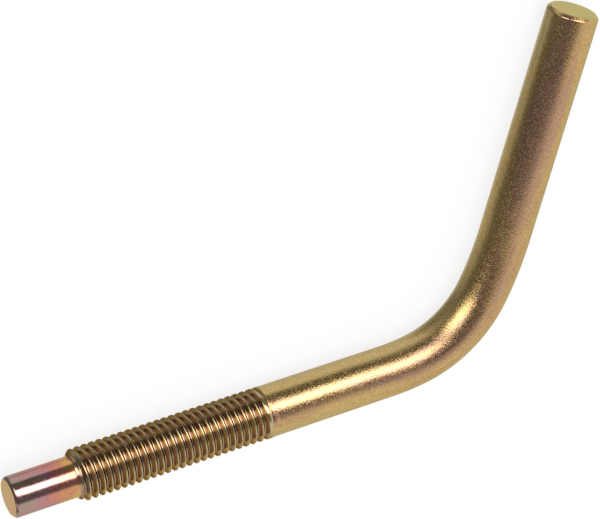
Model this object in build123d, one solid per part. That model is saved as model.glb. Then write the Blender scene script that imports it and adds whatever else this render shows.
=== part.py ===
"""A clamping bolt made from one round bar: dog point, coarse thread, plain shank and bent handle.

The bolt lies on its side. The thread's axis runs along +X from the middle of the dog point's tip,
and the handle bends towards +Y in the level plane through that axis, so +Z is up.
"""
from build123d import *
import math
import os

# Driving dimensions, in millimetres and degrees.
nominal_diameter = 12.0  # ISO metric coarse thread M12
pitch = 1.75
crest_clearance = 0.03  # how far the crests stay inside the nominal radius, for a 6g fit
flank_angle = 30.0  # each flank, from the plane square to the axis
shank_diameter = 11.8  # the plain bar, which the handle is bent from
dog_diameter = 9.3
dog_length = 14.8  # from the tip to the foot of the thread's lead chamfer
dog_chamfer = 0.55
dog_fillet = 0.35  # in the corner between the dog point and the lead chamfer
lead_angle = 45.0  # the lead chamfer that the thread grows out of
first_crest = 16.2  # from the tip to the first whole crest on the +Y side
climb_start = 59.2  # from the tip to where the groove begins to climb out of the bar
climb_turns = 1.2
longest_link = 4  # turns of the groove in one face
neck_length = 0.8  # the slight cone from the crests' size down to the shank's
bend_start = 93.2
ease_in_radius = 47.0  # centreline radius where the bar starts to bend, before the tight arc
ease_in_turn = 9.3
bend_radius = 25.3  # centreline radius of the tight arc
bend_turn = 51.6
ease_out_radius = 77.0  # centreline radius between the tight arc and the straight handle
ease_out_turn = 10.8
handle_length = 54.7  # the straight part after the last arc
handle_chamfer = 0.7

# Allowances of the cutting tools: they run past what they cut, so that no two faces coincide.
cutter_rise = 0.1  # the groove cutter stands this far proud of the crests
climb_rise = 0.05  # the climbing root ends this far above the crests
blank_gap = 0.5  # the blank stands this far clear of the crests along the thread
end_allowance = 1.0  # extra length of the bar at its tip, and of the blank at its other end

# Sizes that follow from the ones above.
shank_radius = shank_diameter / 2
dog_radius = dog_diameter / 2
nominal_radius = nominal_diameter / 2
crest_radius = nominal_radius - crest_clearance
flank_slope = math.tan(math.radians(flank_angle))
root_radius = nominal_radius - 17 / 24 * pitch / (2 * flank_slope)  # ISO 68-1, external thread
turns_ahead = math.ceil((first_crest - dog_length) / pitch) + 1  # of groove, ahead of that crest
thread_end = climb_start + (climb_turns + 0.5) * pitch  # half a pitch past the end of the climb
bends = (
    (ease_in_radius, ease_in_turn),
    (bend_radius, bend_turn),
    (ease_out_radius, ease_out_turn),
)

# Every length of bar is made standing on this plane: its normal is the thread's axis.
bar_plane = Plane(origin=(0, 0, 0), x_dir=(0, 1, 0), z_dir=(1, 0, 0))


def turned(*outline):
    """A solid turned about the bar's axis from (radius, distance) points, closed along the axis."""
    points = [(0, outline[0][1]), *outline, (0, outline[-1][1])]
    return revolve(make_face(Plane.XZ * Polyline(*points, close=True)), Axis.Z)


def groove_section():
    """The groove between two ridges: a trapezium that stands a little proud of the crests."""
    top = crest_radius + cutter_rise

    def half_width(radius):
        ridge = pitch / 8 + 2 * (nominal_radius - radius) * flank_slope
        return (pitch - ridge) / 2

    corners = [(root_radius, -half_width(root_radius)), (top, -half_width(top)),
               (top, half_width(top)), (root_radius, half_width(root_radius))]
    return make_face(Plane.XZ * Polyline(*corners, close=True))


def groove():
    """The right-hand groove at full depth, wound from ahead of the lead chamfer to the climb.

    Its path is a chain of short helices, because one face of many turns meshes far more heavily.
    """
    start = first_crest - (turns_ahead + 0.5) * pitch
    turns = (climb_start - start) / pitch
    links = math.ceil(turns / longest_link)
    link_turns = turns / links
    link = Helix(pitch=pitch, height=link_turns * pitch, radius=root_radius)
    chain = [Location((0, 0, n * link_turns * pitch), (0, 0, 360 * n * link_turns)) * link.edge()
             for n in range(links)]
    return Pos(0, 0, start) * sweep(groove_section(), Wire(chain), is_frenet=True)


def groove_climb():
    """The end of the groove, whose root climbs past the crests on a cone, as a die leaves it."""
    height = climb_turns * pitch
    rise = crest_radius + climb_rise - root_radius
    cone_angle = math.atan2(rise, height)
    path = Helix(pitch=pitch / math.cos(cone_angle), height=height, radius=root_radius,
                 cone_angle=math.degrees(cone_angle))
    axis = Line((0, 0, 0), (0, 0, height))
    turns_before = (climb_start - first_crest) / pitch + 0.5
    start = Location((0, 0, climb_start), (0, 0, 360 * turns_before))
    return start * sweep(groove_section(), path, binormal=axis.edge())


def dog_and_lead():
    """The turned blank's outline: dog point, lead chamfer, then clear of the thread."""
    clear = crest_radius + blank_gap
    lead_slope = math.tan(math.radians(lead_angle))
    blank = turned(
        (dog_radius - dog_chamfer, 0),
        (dog_radius, dog_chamfer),
        (dog_radius, dog_length),
        (clear, dog_length + (clear - dog_radius) / lead_slope),
        (clear, thread_end + end_allowance),
    )
    rings = blank.edges().filter_by(GeomType.CIRCLE).sort_by(Axis.Z)
    corner = rings[2]  # after the tip's ring and the rim of its chamfer
    return fillet(corner, dog_fillet)


def threaded_end():
    """The dog point and the thread: the grooves are cut in a plain bar, which is then trimmed."""
    bar = turned((crest_radius, -end_allowance), (crest_radius, thread_end))
    return (bar - groove() - groove_climb()) & dog_and_lead()


def shank():
    """The plain bar from the thread to the bend."""
    return turned(
        (crest_radius, thread_end),
        (shank_radius, thread_end + neck_length),
        (shank_radius, bend_start),
    )


def arc_of_bar(radius, turn):
    """One arc of the bend, and the place where it ends, both seen from the arc's own start."""
    solid = revolve(Circle(shank_radius), Axis((radius, 0, 0), (0, 1, 0)), turn)
    swing = math.radians(turn)
    end = Location((radius * (1 - math.cos(swing)), 0, radius * math.sin(swing)), (0, turn, 0))
    return solid, end


def bent_handle():
    """The bend's arcs one after another, then the straight handle with its chamfered end."""
    place = Pos(0, 0, bend_start)
    pieces = []
    for radius, turn in bends:
        solid, end = arc_of_bar(radius, turn)
        pieces.append(place * solid)
        place = place * end
    pieces.append(place * turned(
        (shank_radius, 0),
        (shank_radius, handle_length - handle_chamfer),
        (shank_radius - handle_chamfer, handle_length),
    ))
    return pieces


def bent_bolt():
    """The whole bolt as one solid."""
    bolt = threaded_end() + shank()
    for piece in bent_handle():
        bolt = bolt + piece
    return bar_plane.location * bolt


os.makedirs("parts", exist_ok=True)
export_step(bent_bolt(), "parts/bent_bolt.step")
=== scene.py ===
"""Looks of a bent clamp bolt: yellow-passivated zinc on a turned, threaded and bent steel bar.

Lengths are in metres. The bolt is worked out as a straight bar, as a radius over two parameters,
and is then carried along its bent centreline. The parameter `along` is the distance from the dog
point's tip, measured on the centreline. The parameter `around` is an angle that is zero on the
inside of the bend, and a quarter turn on the upper side.
"""

import logging
import math
from dataclasses import dataclass, field
from enum import Enum
from typing import Any, ClassVar

import bpy
import numpy as np
from mathutils import Matrix, Vector


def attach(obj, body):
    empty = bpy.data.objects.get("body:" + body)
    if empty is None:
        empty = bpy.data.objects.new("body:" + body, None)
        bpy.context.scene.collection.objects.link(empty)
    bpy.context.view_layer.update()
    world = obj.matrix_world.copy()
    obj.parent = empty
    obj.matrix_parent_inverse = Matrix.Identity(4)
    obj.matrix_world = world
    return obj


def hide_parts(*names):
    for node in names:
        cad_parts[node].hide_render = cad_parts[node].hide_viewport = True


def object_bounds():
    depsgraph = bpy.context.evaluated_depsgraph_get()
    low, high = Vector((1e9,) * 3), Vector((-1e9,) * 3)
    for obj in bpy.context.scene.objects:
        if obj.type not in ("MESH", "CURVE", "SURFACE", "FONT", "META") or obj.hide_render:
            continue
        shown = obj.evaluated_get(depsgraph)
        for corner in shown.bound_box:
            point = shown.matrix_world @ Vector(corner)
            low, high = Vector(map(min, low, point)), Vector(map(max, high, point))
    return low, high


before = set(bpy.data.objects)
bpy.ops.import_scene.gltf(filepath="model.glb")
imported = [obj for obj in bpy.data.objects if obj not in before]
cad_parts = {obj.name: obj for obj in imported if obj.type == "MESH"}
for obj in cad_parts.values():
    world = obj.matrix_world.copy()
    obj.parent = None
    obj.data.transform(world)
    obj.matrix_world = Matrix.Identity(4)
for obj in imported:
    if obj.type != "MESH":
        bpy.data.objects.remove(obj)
cad_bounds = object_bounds()

MM = 0.001
log = logging.getLogger("bent_clamp_bolt")


def linear(hex_colour: str) -> tuple[float, float, float, float]:
    """Turns an sRGB hex colour into the linear colour that shaders use.

    Args:
        hex_colour: Six hex digits, such as "c9a35e".

    Returns:
        Linear red, green and blue, and an alpha of one.
    """
    channels = np.array([int(hex_colour[i:i + 2], 16) / 255 for i in (0, 2, 4)])
    low, high = channels / 12.92, ((channels + 0.055) / 1.055) ** 2.4
    return (*np.where(channels <= 0.04045, low, high).tolist(), 1.0)


def add_node(tree: bpy.types.NodeTree, kind: str, inputs: dict[Any, Any] | None = None,
             **settings: Any) -> bpy.types.Node:
    """Adds one node with its settings, and fills or links its inputs.

    Args:
        tree: The node tree that gets the node.
        kind: Blender's name of the node's type.
        inputs: Socket name or number, with the value to set or the output socket to link.
        settings: The node's own properties.

    Returns:
        The new node.
    """
    node = tree.nodes.new(kind)
    for name, value in settings.items():
        setattr(node, name, value)
    for key, value in (inputs or {}).items():
        if isinstance(value, bpy.types.NodeSocket):
            tree.links.new(value, node.inputs[key])
        else:
            node.inputs[key].default_value = value
    return node


def fill_ramp(node: bpy.types.Node, stops: tuple[tuple[float, str], ...]) -> None:
    """Puts colour stops into a colour ramp.

    Args:
        node: A ColorRamp node.
        stops: Position and sRGB hex colour of each stop, in rising order.
    """
    elements = node.color_ramp.elements
    while len(elements) > 1:
        elements.remove(elements[-1])
    elements[0].position, elements[0].color = stops[0][0], linear(stops[0][1])
    for position, colour in stops[1:]:
        elements.new(position).color = linear(colour)


def smooth_min(a: np.ndarray, b: np.ndarray, width: float) -> np.ndarray:
    """The lesser of two radii, with the corner between them rounded off.

    Where the two differ by less than the width, a parabola joins them: the lesser one, less a
    quarter of the width times the square of the share that is missing from the width.

    Args:
        a: One surface.
        b: The other surface.
        width: How close the two are where the rounding starts.

    Returns:
        The rounded lesser surface.
    """
    missing = np.clip(1 - np.abs(a - b) / width, 0, 1)
    return np.minimum(a, b) - width / 4 * missing ** 2


def smooth_max(a: np.ndarray, b: np.ndarray, width: float) -> np.ndarray:
    """The greater of two radii, with the corner between them filled by the same parabola.

    Args:
        a: One surface.
        b: The other surface.
        width: How close the two are where the fillet starts.

    Returns:
        The rounded greater surface.
    """
    return -smooth_min(-a, -b, width)


@dataclass(frozen=True)
class Thread:
    """The rolled M12 x 1.75 thread, right-handed, with the groove that climbs out at its end."""

    pitch: float = 1.75 * MM
    crest: float = 5.97 * MM  # radius
    root: float = 4.9265 * MM  # radius
    flank_angle: float = math.radians(30)
    crest_flat: float = 0.22 * MM
    first_crest: float = 16.2 * MM  # from the tip, on the inside of the bend
    climb_start: float = 60.3 * MM
    climb_turns: float = 0.55
    climb_share: float = 1.1  # of the groove's depth, so that the groove is wholly gone
    crest_rounding: float = 0.09 * MM
    root_rounding: float = 0.16 * MM

    def radius(self, along: np.ndarray, around: np.ndarray) -> np.ndarray:
        """The thread's surface as a radius over the two parameters.

        The groove's middle lies half a pitch from the crest line, which advances one pitch per
        turn. The flanks rise from the groove's flat bottom at their angle and stop at the crest.
        After `climb_start` the bottom rises evenly with each turn, until it passes the crest.

        Args:
            along: Distance from the tip.
            around: Angle about the bar.

        Returns:
            The radius at each point.
        """
        turned = along - self.first_crest - self.pitch * around / (2 * math.pi)
        from_groove = np.mod(turned, self.pitch) - self.pitch / 2
        turns_climbed = (along - from_groove - self.climb_start) / self.pitch
        rise = (self.crest - self.root) * np.clip(turns_climbed / self.climb_turns, 0, self.climb_share)
        slope = 1 / math.tan(self.flank_angle)
        flank_width = (self.crest - self.root) / slope
        half_bottom = (self.pitch - self.crest_flat) / 2 - flank_width
        flank = self.root + (np.abs(from_groove) - half_bottom) * slope
        bottom = np.full_like(along, self.root)
        groove = smooth_max(bottom, flank, self.root_rounding) + rise
        return smooth_min(groove, np.full_like(along, self.crest), self.crest_rounding)


@dataclass(frozen=True)
class Centreline:
    """The bent bar's centreline in the level plane: straight and round stretches in a row."""

    bend_start: float = 93.2 * MM
    arcs: tuple[tuple[float, float], ...] = (
        (47.0 * MM, math.radians(9.3)),
        (25.3 * MM, math.radians(51.6)),
        (77.0 * MM, math.radians(10.8)),
    )
    handle: float = 54.7 * MM

    def stretches(self) -> list[tuple[float, float]]:
        """Length and curvature of each stretch, from the tip to the handle's end."""
        bent = [(radius * turn, 1 / radius) for radius, turn in self.arcs]
        return [(self.bend_start, 0.0), *bent, (self.handle, 0.0)]

    def length(self) -> float:
        """The developed length of the bar."""
        return sum(length for length, _ in self.stretches())

    def at(self, along: np.ndarray) -> tuple[np.ndarray, np.ndarray, np.ndarray]:
        """The centreline's place and heading.

        On a straight stretch the place moves by the travel times the heading's cosine and sine.
        On an arc it moves by the change of the heading's sine and cosine, over the curvature.

        Args:
            along: Distance from the tip.

        Returns:
            X, Y and heading at each distance.
        """
        x, y, heading = (np.zeros_like(along) for _ in range(3))
        start, turned = 0.0, 0.0
        for length, curvature in self.stretches():
            travel = np.clip(along - start, 0, length)
            now = turned + curvature * travel
            if curvature:
                x += (np.sin(now) - math.sin(turned)) / curvature
                y += (math.cos(turned) - np.cos(now)) / curvature
            else:
                x += travel * math.cos(turned)
                y += travel * math.sin(turned)
            heading += curvature * travel
            start, turned = start + length, turned + curvature * length
        return x, y, heading


@dataclass(frozen=True)
class ZincFinish:
    """Zinc plating under a yellow chromate film, which tints the metal by its thickness.

    To the eye it is a soft mirror of gold that drifts to pink and olive in long bands, over the
    fine grain that the plating bath leaves. The real grain is too fine to show, so it is drawn
    coarser, at about half a millimetre.
    """

    GRAIN_NOISE: ClassVar[dict[str, float]] = {"Detail": 3.0, "Roughness": 0.65}
    BAND_NOISE: ClassVar[dict[str, float]] = {
        "Scale": 1.0, "Detail": 5.0, "Roughness": 0.62, "Distortion": 0.5}
    NOISE_RANGE: ClassVar[tuple[float, float]] = (0.3, 0.7)  # what a noise seldom leaves

    name: str
    tones: tuple[tuple[float, str], ...]
    edge_tint: str
    roughness: float
    roughness_spread: float
    band_length: float  # one band of tint, along the bar
    band_width: float  # and around it
    band_reach: float  # how far a band shifts the tone, as a share of the ramp
    drift: tuple[float, float, float]  # tone gained per length: along, inwards and upwards
    painted_depth_shade: float  # and outwards from the bar's middle, which paints shade into a thread's grooves and a highlight onto its crests
    drift_start: float
    grain: float  # one grain of the plating
    grain_height: float
    grain_shade: float  # painted shade: how much darker a pit is than a peak
    worked_at: float = 122 * MM  # middle of the bend, where the grain stands highest
    worked_reach: float = 75 * MM
    unworked: float = 0.55  # share of the grain's height that is left far from the bend
    wave: float = 4.0 * MM  # unevenness left by drawing and bending
    wave_height: float = 0.0
    seed: float = 0.0

    def material(self) -> bpy.types.Material:
        """Builds the node material, which reads the unbent bar's own coordinates.

        Returns:
            The material.
        """
        material = bpy.data.materials.new(self.name)
        material.use_nodes = True
        tree = material.node_tree
        tree.nodes.clear()
        bar = add_node(tree, "ShaderNodeAttribute", attribute_name=BarMesh.ATTRIBUTE).outputs["Vector"]
        grain = add_node(tree, "ShaderNodeTexNoise", {
            "Vector": bar, "Scale": 1 / self.grain, **self.GRAIN_NOISE}).outputs["Fac"]
        shader = add_node(tree, "ShaderNodeBsdfPrincipled", {
            "Base Color": self.tint(tree, bar, grain), "Metallic": 1.0,
            "Roughness": self.spread(tree, grain, self.roughness - self.roughness_spread,
                                     self.roughness + self.roughness_spread),
            "Specular Tint": linear(self.edge_tint), "Normal": self.relief(tree, bar, grain)})
        add_node(tree, "ShaderNodeOutputMaterial", {"Surface": shader.outputs["BSDF"]})
        return material

    @staticmethod
    def spread(tree: bpy.types.NodeTree, noise: bpy.types.NodeSocket, low: float,
               high: float) -> bpy.types.NodeSocket:
        """Spreads a noise over a range.

        Args:
            tree: The material's node tree.
            noise: The noise.
            low: The value at the noise's usual lowest.
            high: The value at its usual highest.

        Returns:
            The spread value.
        """
        lowest, highest = ZincFinish.NOISE_RANGE
        return add_node(tree, "ShaderNodeMapRange", {
            "Value": noise, "From Min": lowest, "From Max": highest, "To Min": low,
            "To Max": high}).outputs["Result"]

    def tint(self, tree: bpy.types.NodeTree, bar: bpy.types.NodeSocket,
             grain: bpy.types.NodeSocket) -> bpy.types.NodeSocket:
        """The film's colour: bands over a drift, with painted shade in the grain's pits.

        The place on the ramp of tones is the band's shift, plus the painted depth shade times the distance
        from the bar's middle, plus the drift times the place on the bar. The painted depth shade darkens a
        thread's grooves as painted shade and pales its crests as a painted highlight.

        Args:
            tree: The material's node tree.
            bar: The unbent bar's coordinates.
            grain: The grain's noise.

        Returns:
            The colour.
        """
        stretch = (1 / self.band_length, 1 / self.band_width, 1 / self.band_width)
        placed = add_node(tree, "ShaderNodeMapping", {
            "Vector": bar, "Location": (self.seed,) * 3, "Scale": stretch}).outputs[0]
        band = add_node(tree, "ShaderNodeTexNoise", {
            "Vector": placed, **self.BAND_NOISE}).outputs["Fac"]
        shift = self.spread(tree, band, self.drift_start - self.band_reach,
                            self.drift_start + self.band_reach)
        drifted = add_node(tree, "ShaderNodeVectorMath", {0: bar, 1: self.drift},
                           operation="DOT_PRODUCT").outputs["Value"]
        across = add_node(tree, "ShaderNodeVectorMath", {0: bar, 1: (0, 1, 1)},
                          operation="MULTIPLY").outputs[0]
        outward = add_node(tree, "ShaderNodeVectorMath", {0: across}, operation="LENGTH").outputs["Value"]
        # painted shade in the grooves and a painted highlight on the crests, by the distance from the bar's
        # middle
        shifted = add_node(tree, "ShaderNodeMath", {0: outward, 1: self.painted_depth_shade, 2: shift},
                           operation="MULTIPLY_ADD").outputs[0]
        place = add_node(tree, "ShaderNodeMath", {0: shifted, 1: drifted}, operation="ADD").outputs[0]
        tone = add_node(tree, "ShaderNodeValToRGB", {"Fac": place})
        fill_ramp(tone, self.tones)
        # painted shade: the grain's pits darker and its peaks paler, by the same noise as the relief
        shade = self.spread(tree, grain, 1 - self.grain_shade, 1 + self.grain_shade)
        return add_node(tree, "ShaderNodeVectorMath", {0: tone.outputs["Color"], 3: shade},
                        operation="SCALE").outputs[0]

    def relief(self, tree: bpy.types.NodeTree, bar: bpy.types.NodeSocket,
               grain: bpy.types.NodeSocket) -> bpy.types.NodeSocket:
        """The surface's relief: long waves under the grain, which stands highest at the bend.

        Args:
            tree: The material's node tree.
            bar: The unbent bar's coordinates.
            grain: The grain's noise.

        Returns:
            The normal.
        """
        wave = add_node(tree, "ShaderNodeTexNoise", {
            "Vector": bar, "Scale": 1 / self.wave, "Detail": 1.0}).outputs["Fac"]
        waved = add_node(tree, "ShaderNodeBump", {
            "Height": wave, "Distance": self.wave_height, "Strength": 1.0}).outputs["Normal"]
        along = add_node(tree, "ShaderNodeSeparateXYZ", {0: bar}).outputs["X"]
        from_bend = add_node(tree, "ShaderNodeMath", {0: along, 1: self.worked_at},
                             operation="SUBTRACT").outputs[0]
        distance = add_node(tree, "ShaderNodeMath", {0: from_bend}, operation="ABSOLUTE").outputs[0]
        height = add_node(tree, "ShaderNodeMapRange", {
            "Value": distance, "From Min": 0.0, "From Max": self.worked_reach,
            "To Min": self.grain_height, "To Max": self.grain_height * self.unworked},
            interpolation_type="SMOOTHSTEP").outputs["Result"]
        return add_node(tree, "ShaderNodeBump", {
            "Height": grain, "Distance": height, "Strength": 1.0, "Normal": waved}).outputs["Normal"]


class Surface(Enum):
    """The finishes of the bolt, in the order of the mesh's material slots."""

    # Zinc-plated steel, turned: close to a mirror, from a greyish rose at the tip to gold by the
    # shoulder.
    TURNED = ZincFinish(
        name="zinc_yellow_turned",
        tones=((0.0, "a3907f"), (0.25, "b28688"), (0.5, "bf7f78"), (0.75, "c98d66"), (1.0, "cca562")),
        edge_tint="dcd6c8", roughness=0.17, roughness_spread=0.05,
        band_length=6 * MM, band_width=5 * MM, band_reach=0.3,
        drift=(58.0, 0.0, 0.0), drift_start=0.0, painted_depth_shade=0.0, grain=0.5 * MM, grain_height=0.008 * MM,
        grain_shade=0.10, wave=3 * MM, wave_height=0.05 * MM, seed=3.0)
    # Zinc-plated steel, thread-rolled: painted shade makes it brown in the grooves, and a painted highlight
    # makes it paler towards the crests, which makes the thread read as deep.
    THREADED = ZincFinish(
        name="zinc_yellow_threaded",
        tones=((0.0, "a28973"), (0.35, "a88d68"), (0.65, "ae956a"), (0.9, "bea980")),
        edge_tint="94806a", roughness=0.2, roughness_spread=0.07,
        band_length=12 * MM, band_width=6 * MM, band_reach=0.25,
        drift=(0.0, 0.0, 0.0), drift_start=-4.62, painted_depth_shade=930.0, grain=0.4 * MM, grain_height=0.012 * MM,
        grain_shade=0.12, seed=8.0)
    # Zinc-plated steel bar, cold-drawn and bent: a satin gold that turns olive and pink in long
    # bands, with a grain that glitters most at the bend.
    DRAWN = ZincFinish(
        name="zinc_yellow_drawn_bar",
        tones=((0.0, "b98f72"), (0.2, "c4a56c"), (0.5, "b5a47b"), (0.68, "bfa671"), (0.82, "c3a56b"),
               (0.91, "bd996d"), (1.0, "b48e72")),
        edge_tint="dcd8c6", roughness=0.23, roughness_spread=0.12,
        band_length=45 * MM, band_width=5 * MM, band_reach=0.16,
        drift=(0.0, 43.0, 75.0), drift_start=0.47, painted_depth_shade=0.0, grain=0.40 * MM, grain_height=0.07 * MM,
        grain_shade=0.30, wave=5 * MM, wave_height=0.08 * MM, seed=11.0)
    # Zinc-plated steel, cut square: a dull pale gold, greener at the handle's end than at the tip.
    CUT_FACE = ZincFinish(
        name="zinc_yellow_cut_face",
        tones=((0.0, "c8ba78"), (0.5, "ceb47c"), (1.0, "d2aa7e")),
        edge_tint="dcd8c6", roughness=0.3, roughness_spread=0.05,
        band_length=10 * MM, band_width=5 * MM, band_reach=0.3,
        drift=(-4.5, 0.0, 0.0), drift_start=0.9, painted_depth_shade=0.0, grain=0.6 * MM, grain_height=0.02 * MM,
        grain_shade=0.10, seed=5.0)


@dataclass(frozen=True)
class BarMesh:
    """Turns a grid of radii over (along, around) into one closed mesh on the bent centreline."""

    ATTRIBUTE: ClassVar[str] = "unbent_bar"

    centreline: Centreline

    def bend(self, straight: np.ndarray) -> np.ndarray:
        """Carries points of the unbent bar onto the bent one.

        Each point keeps its height, and stands off the centreline by its inward distance, square
        to the heading.

        Args:
            straight: Distance from the tip, inward and upward, for each point.

        Returns:
            X, Y and Z of each point.
        """
        along, inward, upward = straight.T
        x, y, heading = self.centreline.at(along)
        return np.stack([x - inward * np.sin(heading), y + inward * np.cos(heading), upward], axis=-1)

    @staticmethod
    def faces(rings: int, columns: int) -> np.ndarray:
        """The triangles of a closed tube of rings, with a pole in the middle of each end.

        Args:
            rings: How many rings there are.
            columns: How many points each ring has.

        Returns:
            Three point numbers for each triangle. The poles are the last two points.
        """
        ring, column = np.meshgrid(np.arange(rings - 1), np.arange(columns), indexing="ij")
        beside = (column + 1) % columns
        here, next_column = ring * columns + column, ring * columns + beside
        ahead, diagonal = here + columns, next_column + columns
        sides = np.concatenate([
            np.stack([here, next_column, diagonal], axis=-1).reshape(-1, 3),
            np.stack([here, diagonal, ahead], axis=-1).reshape(-1, 3),
        ])
        first = np.arange(columns)
        second = (first + 1) % columns
        last_ring = (rings - 1) * columns
        pole = rings * columns
        tip_fan = np.stack([np.full(columns, pole), second, first], axis=-1)
        end_fan = np.stack([np.full(columns, pole + 1), last_ring + first, last_ring + second], axis=-1)
        return np.concatenate([sides, tip_fan, end_fan])

    def build(self, name: str, along: np.ndarray, radius: np.ndarray,
              around: np.ndarray) -> bpy.types.Object:
        """Builds the mesh.

        Each point stands off the centreline by its radius: by the cosine of its angle towards the
        inside of the bend, and by the sine upwards.

        Args:
            name: The object's name.
            along: Distance from the tip, for each ring and column.
            radius: Radius, for each ring and column.
            around: Angle of each column.

        Returns:
            The object, at the origin, with smooth shading and the unbent bar's coordinates.
        """
        inward, upward = radius * np.cos(around), radius * np.sin(around)
        straight = np.stack([along, inward, upward], axis=-1).reshape(-1, 3)
        tip, end = [0.0, 0.0, 0.0], [self.centreline.length(), 0.0, 0.0]
        straight = np.vstack([straight, tip, end])
        points = self.bend(straight)
        faces = self.faces(*along.shape)

        mesh = bpy.data.meshes.new(name)
        mesh.vertices.add(len(points))
        mesh.vertices.foreach_set("co", points.astype(np.float32).ravel())
        mesh.loops.add(faces.size)
        mesh.loops.foreach_set("vertex_index", faces.astype(np.int32).ravel())
        mesh.polygons.add(len(faces))
        mesh.polygons.foreach_set("loop_start", np.arange(0, faces.size, 3, dtype=np.int32))
        mesh.polygons.foreach_set("use_smooth", np.ones(len(faces), dtype=bool))
        mesh.update(calc_edges=True)
        attribute = mesh.attributes.new(self.ATTRIBUTE, "FLOAT_VECTOR", "POINT")
        attribute.data.foreach_set("vector", straight.astype(np.float32).ravel())
        mesh.validate()
        obj = bpy.data.objects.new(name, mesh)
        bpy.context.scene.collection.objects.link(obj)
        return obj


@dataclass
class ClampBolt:
    """The whole bolt: dog point, thread, plain shank, bend and handle, as one plated piece."""

    thread: Thread = field(default_factory=Thread)
    centreline: Centreline = field(default_factory=Centreline)
    dog_radius: float = 4.65 * MM
    dog_length: float = 14.8 * MM
    dog_chamfer: float = 0.55 * MM
    dog_fillet: float = 0.5 * MM
    shank_radius: float = 5.9 * MM
    neck_length: float = 0.8 * MM
    handle_chamfer: float = 0.7 * MM
    edge_rounding: float = 0.16 * MM
    drawn_before_end: float = 0.6  # pitches of the thread's end that are finished as drawn bar
    face_depth: float = 0.01 * MM  # what lies this close to an end is its flat face
    columns: int = 120
    rings_per_pitch: int = 20
    ring_crowding: float = 0.6
    rings_before_shoulder: float = 0.4 * MM  # where the rings start to follow the helix
    ring_gap: float = 0.1 * MM  # between rings that follow the helix and level ones
    chamfer_rings: int = 28
    dog_rings: int = 40
    shank_rings: int = 24
    bend_rings: int = 56
    handle_rings: int = 30
    face_rings: tuple[float, ...] = (0.25, 0.5, 0.75, 0.9, 0.97, 0.995)  # shares of the end's radius

    @property
    def thread_end(self) -> float:
        """Where the neck starts: half a pitch past the end of the climb."""
        return self.thread.climb_start + (self.thread.climb_turns + 0.5) * self.thread.pitch

    def rings(self) -> np.ndarray:
        """Where the rings of points lie along the bar, for each column.

        Round stretches have level rings, closer where the shape turns faster. Along the thread
        each column's rings are moved on with the helix, so that every crest is cut at the same
        places, which crowd at crest and root: the even spacing less a sine of twice its turn.

        Returns:
            Distances from the tip, for each ring and column.
        """
        pitch, per_pitch = self.thread.pitch, self.rings_per_pitch
        column = np.arange(self.columns)
        helix = pitch * column / self.columns
        steps_back = np.round(per_pitch * column / self.columns)
        first = math.floor((self.dog_length - self.rings_before_shoulder - self.thread.first_crest)
                           / pitch * per_pitch)
        last = math.ceil((self.thread_end + self.neck_length - self.thread.first_crest)
                         / pitch * per_pitch)
        step = (np.arange(first, last)[:, None] - steps_back[None, :]) / per_pitch
        phase = step - self.ring_crowding * np.sin(4 * math.pi * step) / (4 * math.pi)
        threaded = self.thread.first_crest + pitch * phase + helix[None, :]

        end = self.centreline.length()
        tip_edge, end_edge = 2 * self.dog_chamfer, end - 2 * self.handle_chamfer
        bend_start, handle_start = self.centreline.bend_start, end - self.centreline.handle
        tip = np.concatenate([
            np.linspace(0, tip_edge, self.chamfer_rings, endpoint=False),
            np.linspace(tip_edge, threaded.min() - self.ring_gap, self.dog_rings),
        ])
        bar = np.concatenate([
            np.linspace(threaded.max() + self.ring_gap, bend_start, self.shank_rings, endpoint=False),
            np.linspace(bend_start, handle_start, self.bend_rings, endpoint=False),
            np.linspace(handle_start, end_edge, self.handle_rings, endpoint=False),
            np.linspace(end_edge, end, self.chamfer_rings),
        ])
        level = np.ones((1, self.columns))
        return np.concatenate([tip[:, None] * level, threaded, bar[:, None] * level])

    def radius(self, along: np.ndarray, around: np.ndarray) -> np.ndarray:
        """The bolt's surface as a radius over the two parameters.

        The thread is cut down by the turned blank: the dog point, then the cone of the lead
        chamfer. Past the thread a short cone leads to the shank. Both ends are chamfered at
        half a right angle. Every corner is rounded.

        Args:
            along: Distance from the tip.
            around: Angle about the bar.

        Returns:
            The radius at each point.
        """
        dog = np.full_like(along, self.dog_radius)
        lead = self.dog_radius + (along - self.dog_length)
        blank = smooth_max(dog, lead, self.dog_fillet)
        tip_chamfer = self.dog_radius - self.dog_chamfer + along
        end_chamfer = self.shank_radius - self.handle_chamfer + (self.centreline.length() - along)
        past_neck = np.clip((along - self.thread_end) / self.neck_length, 0, 1)
        plain = self.thread.crest + (self.shank_radius - self.thread.crest) * past_neck
        threaded = self.thread.radius(along, around)
        surface = np.where(along < self.thread_end, threaded, plain)
        surface = smooth_min(surface, blank, self.edge_rounding)
        surface = smooth_min(surface, tip_chamfer, self.edge_rounding)
        return smooth_min(surface, end_chamfer, self.edge_rounding)

    def build(self) -> bpy.types.Object:
        """Builds the plated bolt with a finish on each stretch.

        Returns:
            The finished object.
        """
        around = np.linspace(0, 2 * math.pi, self.columns, endpoint=False)
        along = self.rings()
        radius = self.radius(along, np.broadcast_to(around, along.shape))

        caps = np.array(self.face_rings)[:, None]
        tip_cap = caps * radius[:1]
        end_cap = caps[::-1] * radius[-1:]
        along = np.concatenate([np.zeros_like(tip_cap), along, np.full_like(end_cap, along[-1, 0])])
        radius = np.concatenate([tip_cap, radius, end_cap])

        bolt = BarMesh(self.centreline).build("bent_bolt_plated", along, radius, around)
        self.dress(bolt)
        return bolt

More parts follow.
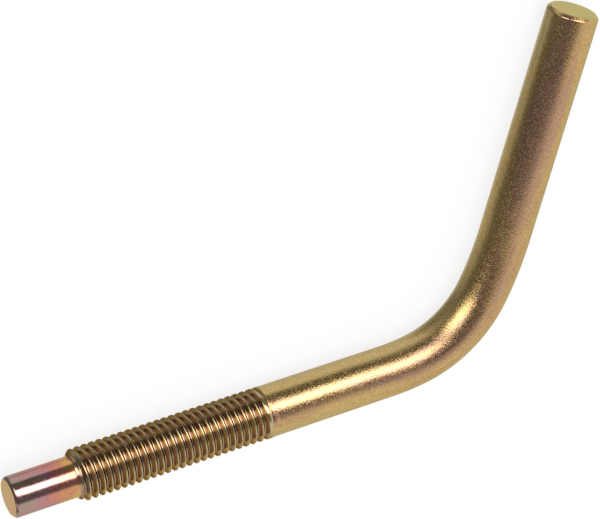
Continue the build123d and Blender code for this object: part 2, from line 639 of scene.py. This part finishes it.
    def dress(self, bolt: bpy.types.Object) -> None:
        """Gives each stretch of the bolt its finish, by where its faces lie on the unbent bar.

        Args:
            bolt: The bolt's object.
        """
        mesh = bolt.data
        for surface in Surface:
            mesh.materials.append(surface.value.material())
        straight = np.empty(len(mesh.vertices) * 3, np.float32)
        mesh.attributes[BarMesh.ATTRIBUTE].data.foreach_get("vector", straight)
        corners = np.empty(len(mesh.loops), np.int32)
        mesh.loops.foreach_get("vertex_index", corners)
        along = straight.reshape(-1, 3)[corners, 0].reshape(-1, 3).mean(axis=1)
        thread_finish = self.thread_end - self.drawn_before_end * self.thread.pitch
        order = list(Surface)
        slot = np.full(len(along), order.index(Surface.DRAWN), np.int32)
        slot[along < thread_finish] = order.index(Surface.THREADED)
        slot[along < self.dog_length] = order.index(Surface.TURNED)
        from_end = np.minimum(along, self.centreline.length() - along)
        slot[from_end < self.face_depth] = order.index(Surface.CUT_FACE)
        mesh.polygons.foreach_set("material_index", slot)
        mesh.update()


@dataclass(frozen=True)
class Card:
    """A grey panel or a lamp round the studio, which only the bolt's reflections show.

    Its place is on a round map of all directions from the bolt. The map's middle is the studio's
    front, its unit circle is a quarter turn away, and what lies behind is further out.
    """

    centre: tuple[float, float]
    half_size: tuple[float, float]
    tilt: float  # in degrees
    softness: float  # width of the edge on either side, as a share of the half size
    light: float  # where one is as bright as the white round it


@dataclass(frozen=True)
class Studio:
    """A white studio: pale floor, soft light from all sides, and a dark front with soft lamps."""

    azimuth: float = math.radians(216.696)
    elevation: float = math.radians(48.956)
    roll: float = math.radians(133.313)
    distance: float = 583.5 * MM
    aim_offset: tuple[float, float] = (-1.24 * MM, -0.75 * MM)
    lens: float = 161.35
    sensor: float = 36.0
    clip: tuple[float, float] = (0.01, 50.0)
    floor_half: float = 3.0
    floor_colour: tuple[float, float, float, float] = (0.9, 0.9, 0.9, 1.0)
    floor_white: float = 0.82  # share of plain white in what the camera sees; the rest is shaded
    lamp_place: tuple[float, float, float] = (0.0, 0.2, 1.0)
    lamp_aim: tuple[float, float, float] = (0.07, 0.03, 0.0)
    lamp_size: float = 0.8
    lamp_power: float = 3.0  # in watts
    above_one: float = 1.0001  # keeps the direction straight behind from a division by nought
    cards: tuple[Card, ...] = (
        # A dim far side, and two greys at the left and the near side
        Card(centre=(-1.40, 1.15), half_size=(0.95, 0.95), tilt=0, softness=0.25, light=0.32),
        Card(centre=(-1.50, 0.10), half_size=(0.42, 0.30), tilt=-20, softness=0.35, light=0.57),
        Card(centre=(-0.90, -0.80), half_size=(0.45, 0.35), tilt=0, softness=0.30, light=0.28),
        # The dark front, which draws the long dark band down the bar
        Card(centre=(-0.29, -0.05), half_size=(0.84, 0.41), tilt=0, softness=0.09, light=0.19),
        Card(centre=(-0.17, 0.23), half_size=(0.98, 0.39), tilt=32, softness=0.10, light=0.19),
        # Two small soft lamps in it, which draw the highlights
        Card(centre=(-0.20, 0.10), half_size=(0.14, 0.13), tilt=12, softness=0.40, light=5.1),
        Card(centre=(0.35, 0.21), half_size=(0.20, 0.14), tilt=12, softness=0.30, light=5.1),
    )

    def front(self) -> Matrix:
        """The turn of the studio's front: X to its right, Y up it, Z from the bolt towards it.

        Returns:
            The turn, whose columns are the three directions.
        """
        towards = Vector((math.sin(self.azimuth) * math.cos(self.elevation),
                          -math.cos(self.azimuth) * math.cos(self.elevation),
                          math.sin(self.elevation)))
        upright = (-towards).to_track_quat("-Z", "Y").to_matrix()
        return upright @ Matrix.Rotation(self.roll, 3, "Z")

    def camera(self) -> None:
        """Places the camera on the studio's front, aimed at the middle of the CAD box."""
        low, high = cad_bounds
        turn = self.front()
        aim = (low + high) / 2 + turn @ Vector((*self.aim_offset, 0.0))
        data = bpy.data.cameras.new("camera")
        data.lens, data.sensor_width = self.lens, self.sensor
        data.clip_start, data.clip_end = self.clip
        camera = bpy.data.objects.new("camera", data)
        camera.matrix_world = Matrix.Translation(aim + turn @ Vector((0, 0, self.distance))) @ turn.to_4x4()
        bpy.context.scene.collection.objects.link(camera)
        bpy.context.scene.camera = camera

    def world(self) -> None:
        """Builds the surroundings: plain white light, and the cards in what the metal mirrors.

        A direction's place on the map of cards is its part to the right and its part up, each over
        one more than its part towards the front.
        """
        world = bpy.data.worlds.new("white_studio")
        world.use_nodes = True
        tree = world.node_tree
        tree.nodes.clear()
        direction = add_node(tree, "ShaderNodeTexCoord").outputs["Generated"]
        facing = add_node(tree, "ShaderNodeMapping", {
            "Vector": direction, "Rotation": self.front().inverted().to_euler()}).outputs[0]
        depth = add_node(tree, "ShaderNodeSeparateXYZ", {0: facing}).outputs["Z"]
        away = add_node(tree, "ShaderNodeMath", {0: depth, 1: self.above_one}, operation="ADD").outputs[0]
        shrink = add_node(tree, "ShaderNodeMath", {0: 1.0, 1: away}, operation="DIVIDE").outputs[0]
        shown = add_node(tree, "ShaderNodeVectorMath", {0: facing, 3: shrink}, operation="SCALE").outputs[0]
        flat = add_node(tree, "ShaderNodeVectorMath", {0: shown, 1: (1, 1, 0)},
                        operation="MULTIPLY").outputs[0]
        white = (1.0, 1.0, 1.0, 1.0)
        light = white
        for card in self.cards:
            light = self.add_card(tree, flat, light, card)
        path = add_node(tree, "ShaderNodeLightPath")
        mirrored = add_node(tree, "ShaderNodeMix", {
            0: path.outputs["Is Glossy Ray"], 6: white, 7: light}, data_type="RGBA").outputs[2]
        background = add_node(tree, "ShaderNodeBackground", {"Color": mirrored, "Strength": 1.0})
        add_node(tree, "ShaderNodeOutputWorld", {"Surface": background.outputs[0]})
        bpy.context.scene.world = world

    @staticmethod
    def add_card(tree: bpy.types.NodeTree, flat: bpy.types.NodeSocket, light: Any,
                 card: Card) -> bpy.types.NodeSocket:
        """Lays one card over the light so far.

        The card's outline is where the fourth powers of the two places, each over its half size,
        add up to one, which is a rounded rectangle.

        Args:
            tree: The world's node tree.
            flat: Places on the map of directions.
            light: The light so far, as a socket or a colour.
            card: The card to lay on.

        Returns:
            The light with the card.
        """
        own = add_node(tree, "ShaderNodeMapping", {
            "Vector": flat, "Location": (*card.centre, 0), "Rotation": (0, 0, math.radians(card.tilt)),
            "Scale": (*card.half_size, 1)}, vector_type="TEXTURE").outputs[0]
        square = add_node(tree, "ShaderNodeVectorMath", {0: own, 1: own}, operation="MULTIPLY").outputs[0]
        fourth = add_node(tree, "ShaderNodeVectorMath", {0: square, 1: square}, operation="DOT_PRODUCT")
        inside = add_node(tree, "ShaderNodeMapRange", {
            "Value": fourth.outputs["Value"], "From Min": (1 - card.softness) ** 4,
            "From Max": (1 + card.softness) ** 4, "To Min": 1.0, "To Max": 0.0},
            interpolation_type="SMOOTHSTEP").outputs["Result"]
        return add_node(tree, "ShaderNodeMix", {0: inside, 6: light, 7: (*(card.light,) * 3, 1.0)},
                        data_type="RGBA").outputs[2]

    def floor(self) -> None:
        """Lays the white floor under the bolt, which keeps the bolt's soft shadow."""
        low, _ = cad_bounds
        half = self.floor_half
        corners = [(-half, -half, low.z), (half, -half, low.z), (half, half, low.z), (-half, half, low.z)]
        mesh = bpy.data.meshes.new("floor")
        mesh.from_pydata(corners, [], [(0, 1, 2, 3)])
        floor = bpy.data.objects.new("floor", mesh)
        bpy.context.scene.collection.objects.link(floor)
        material = bpy.data.materials.new("white_card_floor")
        material.use_nodes = True
        tree = material.node_tree
        tree.nodes.clear()
        path = add_node(tree, "ShaderNodeLightPath").outputs
        seen = path["Is Camera Ray"]
        for other in ("Is Glossy Ray", "Is Transmission Ray"):
            seen = add_node(tree, "ShaderNodeMath", {0: seen, 1: path[other]},
                            operation="MAXIMUM").outputs[0]
        share = add_node(tree, "ShaderNodeMath", {0: seen, 1: self.floor_white},
                         operation="MULTIPLY").outputs[0]
        matt = add_node(tree, "ShaderNodeBsdfDiffuse", {"Color": self.floor_colour})
        white = add_node(tree, "ShaderNodeEmission", {"Strength": 1.0})
        mixed = add_node(tree, "ShaderNodeMixShader", {0: share, 1: matt.outputs[0], 2: white.outputs[0]})
        add_node(tree, "ShaderNodeOutputMaterial", {"Surface": mixed.outputs[0]})
        mesh.materials.append(material)
        floor.visible_glossy = False  # the metal mirrors the white world and its cards instead

    def lamp(self) -> None:
        """Hangs one broad soft lamp above the bolt, for its shadow."""
        data = bpy.data.lights.new("soft_lamp", "AREA")
        data.shape, data.size, data.energy = "DISK", self.lamp_size, self.lamp_power
        lamp = bpy.data.objects.new("soft_lamp", data)
        lamp.location = self.lamp_place
        beam = Vector(self.lamp_aim) - lamp.location
        lamp.rotation_euler = beam.to_track_quat("-Z", "Y").to_euler()
        lamp.visible_glossy = False  # the cards hold the lamps that the metal mirrors
        bpy.context.scene.collection.objects.link(lamp)


def main() -> None:
    """Builds the bolt and its studio, and ties the bolt to the CAD part."""
    logging.basicConfig(level=logging.INFO, format="%(name)s: %(message)s")
    bolt = ClampBolt().build()
    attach(bolt, "root")
    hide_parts("bent_bolt")
    log.info("%s: %d triangles", bolt.name, len(bolt.data.polygons))

    studio = Studio()
    studio.camera()
    studio.world()
    studio.floor()
    studio.lamp()
    bpy.context.scene.view_settings.view_transform = "Standard"
    log.info("studio: %d cards", len(studio.cards))


if __name__ == "__main__":
    main()
